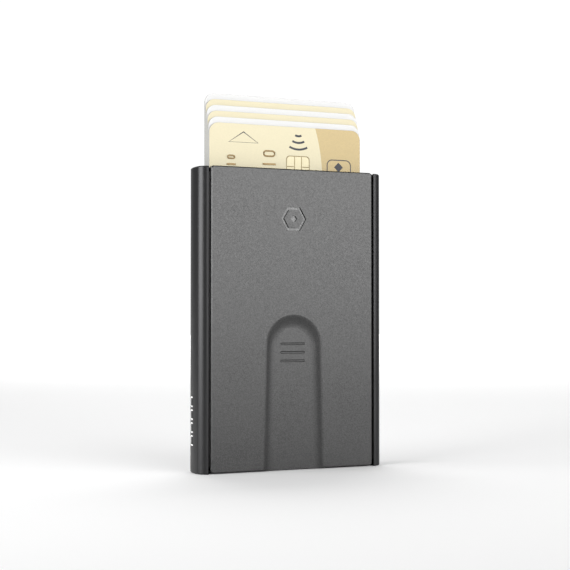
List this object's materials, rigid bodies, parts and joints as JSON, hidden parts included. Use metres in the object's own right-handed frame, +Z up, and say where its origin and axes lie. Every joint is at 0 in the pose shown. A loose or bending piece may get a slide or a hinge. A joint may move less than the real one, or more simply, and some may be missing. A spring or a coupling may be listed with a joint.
{
  "type": "slim card case with slide-up card lift",
  "caption": "Slim upright metal case that holds bank cards; its front plate slides up to fan the cards out of the open top.",
  "frame": {"origin": "middle of the case's lower end", "axes": "+X to the right seen from the front, +Y from the front plate to the back wall, +Z up towards the open mouth"},
  "size_m": [0.065, 0.0112, 0.122],
  "materials": {
    "anodised_shell": "fine blasted and anodised dark grey",
    "anodised_plate": "fine blasted and anodised dark grey",
    "black_moulding": "fine textured moulding",
    "screw_steel": "dark zinc",
    "cassette_moulding": "spark-eroded moulding",
    "bumper_rubber": "matt",
    "spring_steel": "rolled strip",
    "pad_rubber": "silicone",
    "rivet_steel": "turned",
    "ball_steel": "polished",
    "glide_moulding": "low-friction moulding",
    "carriage_moulding": "glass-filled moulding",
    "stair_moulding": "soft-touch moulding",
    "chip_contact": "pale gold contacts",
    "card_gold": "satin cream and gold print",
    "card_white": "satin white print",
    "card_cream": "satin cream print"
  },
  "bodies": {
    "case": {"body_shell": "anodised_shell", "bottom_cap": "black_moulding", "cap_screws": "screw_steel", "cassette": "cassette_moulding", "stop_bumpers": "bumper_rubber", "leaf_spring_right": "spring_steel", "leaf_spring_left": "spring_steel", "grip_pad_right": "pad_rubber", "grip_pad_left": "pad_rubber", "spring_rivets": "rivet_steel", "detent_ball": "ball_steel", "detent_spring": "spring_steel"},
    "slider": {"slider_plate": "anodised_plate", "glide_strip_right": "glide_moulding", "glide_strip_left": "glide_moulding", "pusher_carriage": "carriage_moulding", "pusher_screws": "screw_steel", "card_stair": "stair_moulding"},
    "card_1": {"card_1": "card_gold", "card_1_chip": "chip_contact"},
    "card_2": {"card_2": "card_white"},
    "card_3": {"card_3": "card_cream"},
    "card_4": {"card_4": "card_white"},
    "card_5": {"card_5": "card_cream"},
    "card_6": {"card_6": "card_white"}
  },
  "joints": [
    {"name": "slider_slide", "type": "slide", "parent": "case", "child": "slider", "axis": [0, 0, 1], "range_m": [0, 0.0249]},
    {"name": "card_1_slide", "type": "slide", "parent": "case", "child": "card_1", "axis": [0, 0, 1], "range_m": [-0.0249, 0.0713]},
    {"name": "card_2_slide", "type": "slide", "parent": "case", "child": "card_2", "axis": [0, 0, 1], "range_m": [-0.0249, 0.0693]},
    {"name": "card_3_slide", "type": "slide", "parent": "case", "child": "card_3", "axis": [0, 0, 1], "range_m": [-0.0249, 0.0674]},
    {"name": "card_4_slide", "type": "slide", "parent": "case", "child": "card_4", "axis": [0, 0, 1], "range_m": [-0.0249, 0.0654]},
    {"name": "card_5_slide", "type": "slide", "parent": "case", "child": "card_5", "axis": [0, 0, 1], "range_m": [-0.0249, 0.0634]},
    {"name": "card_6_slide", "type": "slide", "parent": "case", "child": "card_6", "axis": [0, 0, 1], "range_m": [-0.0249, 0.0614]}
  ]
}
